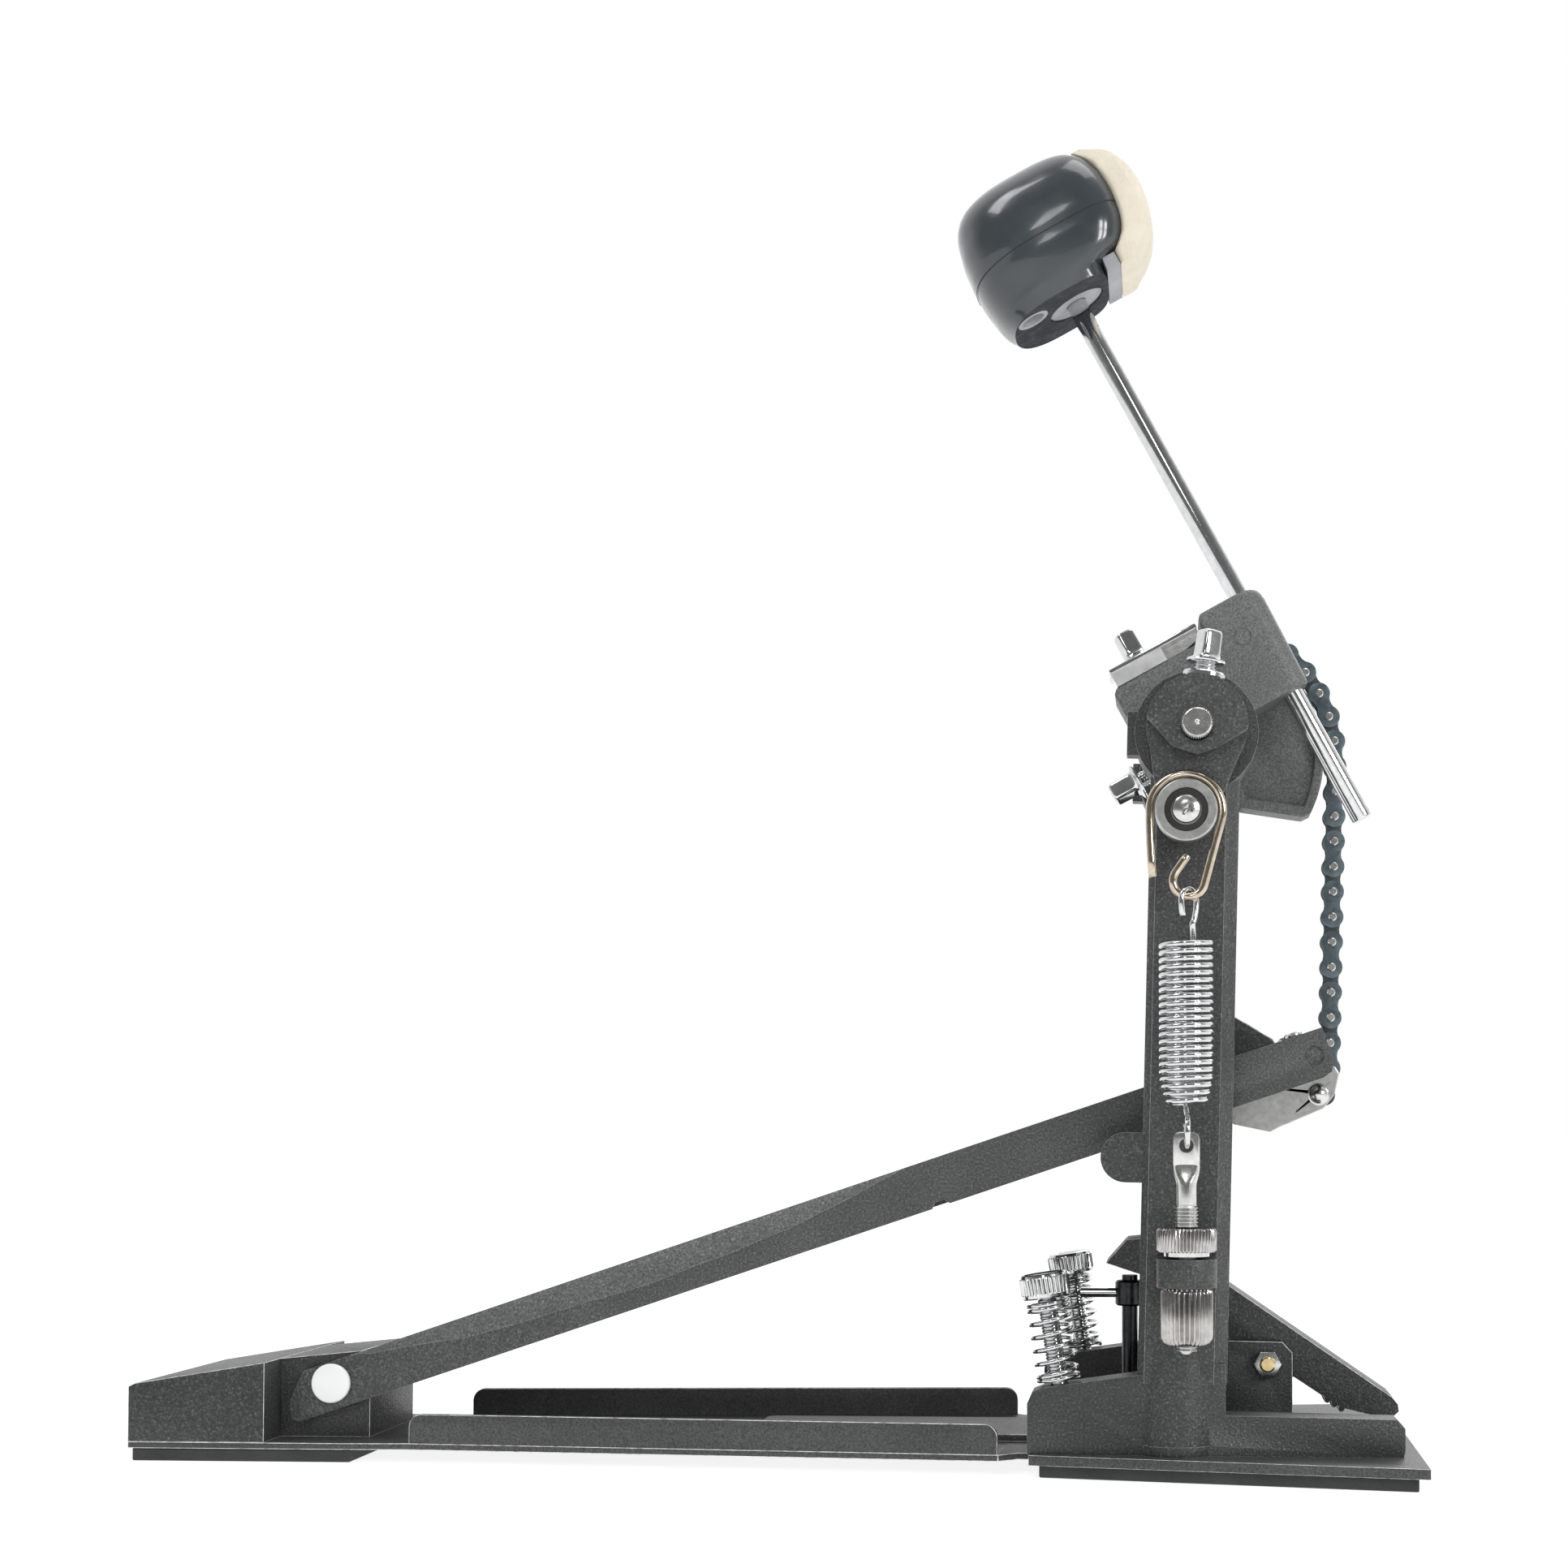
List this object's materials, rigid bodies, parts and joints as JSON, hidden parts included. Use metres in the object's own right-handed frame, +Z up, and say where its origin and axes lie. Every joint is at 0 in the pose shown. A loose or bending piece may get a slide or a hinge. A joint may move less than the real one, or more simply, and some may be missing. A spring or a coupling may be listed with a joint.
{
  "type": "bass drum pedal",
  "caption": "Bass drum pedal with a sprung footboard, a chain over a round cam and a tilting felt beater on a base plate with a hoop clamp.",
  "frame": {"origin": "on the floor straight below the beater axle, in the middle plane of the pedal", "axes": "+X towards the drum, +Y across the pedal to the side away from the return spring, +Z up"},
  "size_m": [0.3965, 0.1612, 0.4082],
  "materials": {
    "powder_black": "fine textured black powder coat",
    "cast_black": "satin black paint on cast metal",
    "board_black": "fine textured black powder coat with lighter edges",
    "rubber_black": "matt black rubber",
    "chrome": "bright chrome plate",
    "steel": "brushed steel",
    "nickel": "nickel plated wire",
    "chain_blue": "dark blue-grey blackened steel",
    "cap_white": "bright polished cap",
    "shell_black": "glossy black plastic",
    "insert_grey": "grey plastic",
    "felt_cream": "pressed cream felt"
  },
  "bodies": {
    "base": {"base_plate": "powder_black", "tongue_plate": "powder_black", "front_plate": "powder_black", "heel_pad": "rubber_black", "front_pad": "rubber_black", "heel_block": "powder_black", "heel_screws": "steel", "hinge_pin": "cap_white", "near_pedestal": "powder_black", "far_pedestal": "powder_black", "pedestal_screws": "steel", "near_bearing": "steel", "far_bearing": "steel", "clamp_bridge": "cast_black", "clamp_bracket": "powder_black", "jaw_bolt": "steel", "hoop_pad": "rubber_black", "tension_rod": "steel", "spur_spring_near": "chrome", "spur_spring_far": "chrome"},
    "rocker": {"axle": "steel", "axle_collar": "chrome", "rocker_arm": "powder_black", "arm_set_screw": "chrome", "roller_screw": "chrome", "beater_holder": "cast_black", "clamp_plate": "chrome", "clamp_bolt": "chrome", "hub_screw": "chrome", "shaft_screw": "steel", "cam": "cast_black", "chain_wrapped": "chain_blue"},
    "roller": {"roller": "steel"},
    "spring_hook": {"wire_hook": "nickel"},
    "spring": {"extension_spring": "chrome"},
    "chain_link_1": {"chain_link_1": "chain_blue"},
    "chain_link_2": {"chain_link_2": "chain_blue"},
    "chain_link_3": {"chain_link_3": "chain_blue"},
    "chain_link_4": {"chain_link_4": "chain_blue"},
    "chain_run": {"chain_run": "chain_blue", "chain_end_link": "chain_blue"},
    "beater_shaft": {"beater_shaft": "chrome"},
    "beater_head": {"head_shell": "shell_black", "head_spacer": "insert_grey", "head_felt": "felt_cream", "head_insert": "insert_grey", "head_screw": "insert_grey"},
    "footboard": {"footboard": "board_black", "heel_bushes": "rubber_black", "toe_bracket": "steel", "toe_screws": "steel", "toe_pin": "steel", "toe_stop": "powder_black"},
    "jaw": {"jaw_lever": "powder_black"},
    "clamp_screw": {"clamp_screw": "steel"},
    "clamp_tee": {"clamp_tee": "chrome"},
    "spur_near": {"spur_bolt_near": "chrome"},
    "spur_far": {"spur_bolt_far": "chrome"},
    "knurled_nut": {"knurled_nut": "chrome"},
    "barrel_nut": {"barrel_nut": "chrome"}
  },
  "joints": [
    {"name": "axle_swing", "type": "hinge", "parent": "base", "child": "rocker", "pos_m": [0, 0, 0.2205], "axis": [0, 1, 0], "range_deg": [0, 41], "stiffness_Nm_per_rad": 1.1, "springref_deg": -8.59},
    {"name": "footboard_tilt", "type": "hinge", "parent": "base", "child": "footboard", "pos_m": [-0.27, 0, 0.0234], "axis": [0, 1, 0], "range_deg": [0, 6]},
    {"name": "chain_link_1_bend", "type": "hinge", "parent": "rocker", "child": "chain_link_1", "pos_m": [0.03521, 0, 0.24788], "axis": [0, 1, 0], "range_deg": [-10, 0]},
    {"name": "chain_link_2_bend", "type": "hinge", "parent": "chain_link_1", "child": "chain_link_2", "pos_m": [0.03953, 0, 0.24115], "axis": [0, 1, 0], "range_deg": [-11, 0]},
    {"name": "chain_link_3_bend", "type": "hinge", "parent": "chain_link_2", "child": "chain_link_3", "pos_m": [0.04258, 0, 0.23376], "axis": [0, 1, 0], "range_deg": [-12, 0]},
    {"name": "chain_link_4_bend", "type": "hinge", "parent": "chain_link_3", "child": "chain_link_4", "pos_m": [0.04427, 0, 0.22593], "axis": [0, 1, 0], "range_deg": [-12, 0]},
    {"name": "chain_run_bend", "type": "hinge", "parent": "chain_link_4", "child": "chain_run", "pos_m": [0.0446, 0, 0.21794], "axis": [0, 1, 0], "range_deg": [-7, 0]},
    {"name": "hook_swing", "type": "hinge", "parent": "rocker", "child": "spring_hook", "pos_m": [-0.0032, -0.0735, 0.1955], "axis": [0, 1, 0], "range_deg": [-51, 0]},
    {"name": "spring_stretch", "type": "slide", "parent": "spring_hook", "child": "spring", "axis": [0, 0, -1], "range_m": [0, 0.0097], "deforming": ["extension_spring"]},
    {"name": "roller_spin", "type": "hinge", "parent": "rocker", "child": "roller", "pos_m": [-0.0032, -0.0735, 0.1955], "axis": [0, 1, 0], "continuous": true},
    {"name": "beater_height", "type": "slide", "parent": "rocker", "child": "beater_shaft", "axis": [-0.4772, 0, 0.8788], "range_m": [-0.03, 0.03]},
    {"name": "beater_turn", "type": "hinge", "parent": "beater_shaft", "child": "beater_head", "pos_m": [-0.04706, -0.018, 0.38156], "axis": [-0.4772, 0, 0.8788], "continuous": true},
    {"name": "clamp_tee_turn", "type": "hinge", "parent": "clamp_screw", "child": "clamp_tee", "pos_m": [-0.021, 0, 0.0507], "axis": [0, 0, 1], "range_deg": [0, 1440]},
    {"name": "clamp_screw_travel", "type": "slide", "parent": "base", "child": "clamp_screw", "axis": [0, 0, -1], "range_m": [0, 0.004]},
    {"name": "jaw_open", "type": "hinge", "parent": "base", "child": "jaw", "pos_m": [0.0218, 0, 0.0302], "axis": [0, 1, 0], "range_deg": [-5.6, 0]},
    {"name": "spur_near_travel", "type": "slide", "parent": "base", "child": "spur_near", "axis": [0.1461, 0, -0.9893], "range_m": [0, 0.008], "deforming": ["spur_spring_near"]},
    {"name": "spur_far_travel", "type": "slide", "parent": "base", "child": "spur_far", "axis": [0.1461, 0, -0.9893], "range_m": [0, 0.008], "deforming": ["spur_spring_far"]},
    {"name": "knurled_nut_turn", "type": "hinge", "parent": "base", "child": "knurled_nut", "pos_m": [-0.0034, -0.0735, 0.0708], "axis": [0, 0, 1], "continuous": true},
    {"name": "barrel_nut_turn", "type": "hinge", "parent": "base", "child": "barrel_nut", "pos_m": [-0.0034, -0.0735, 0.0492], "axis": [0, 0, 1], "continuous": true}
  ],
  "couplings": [
    {"joint": "footboard_tilt", "follows": "axle_swing", "ratio": 0.1431},
    {"joint": "chain_link_1_bend", "follows": "axle_swing", "ratio": -0.1994},
    {"joint": "chain_link_2_bend", "follows": "axle_swing", "ratio": -0.229},
    {"joint": "chain_link_3_bend", "follows": "axle_swing", "ratio": -0.2592},
    {"joint": "chain_link_4_bend", "follows": "axle_swing", "ratio": -0.261},
    {"joint": "chain_run_bend", "follows": "axle_swing", "ratio": -0.128},
    {"joint": "hook_swing", "follows": "axle_swing", "ratio": -1.207},
    {"joint": "spring_stretch", "follows": "axle_swing", "m_per_rad": 0.01314},
    {"joint": "clamp_tee_turn", "follows": "clamp_screw_travel", "rad_per_m": 6283},
    {"joint": "jaw_open", "follows": "clamp_screw_travel", "rad_per_m": -23.4}
  ]
}
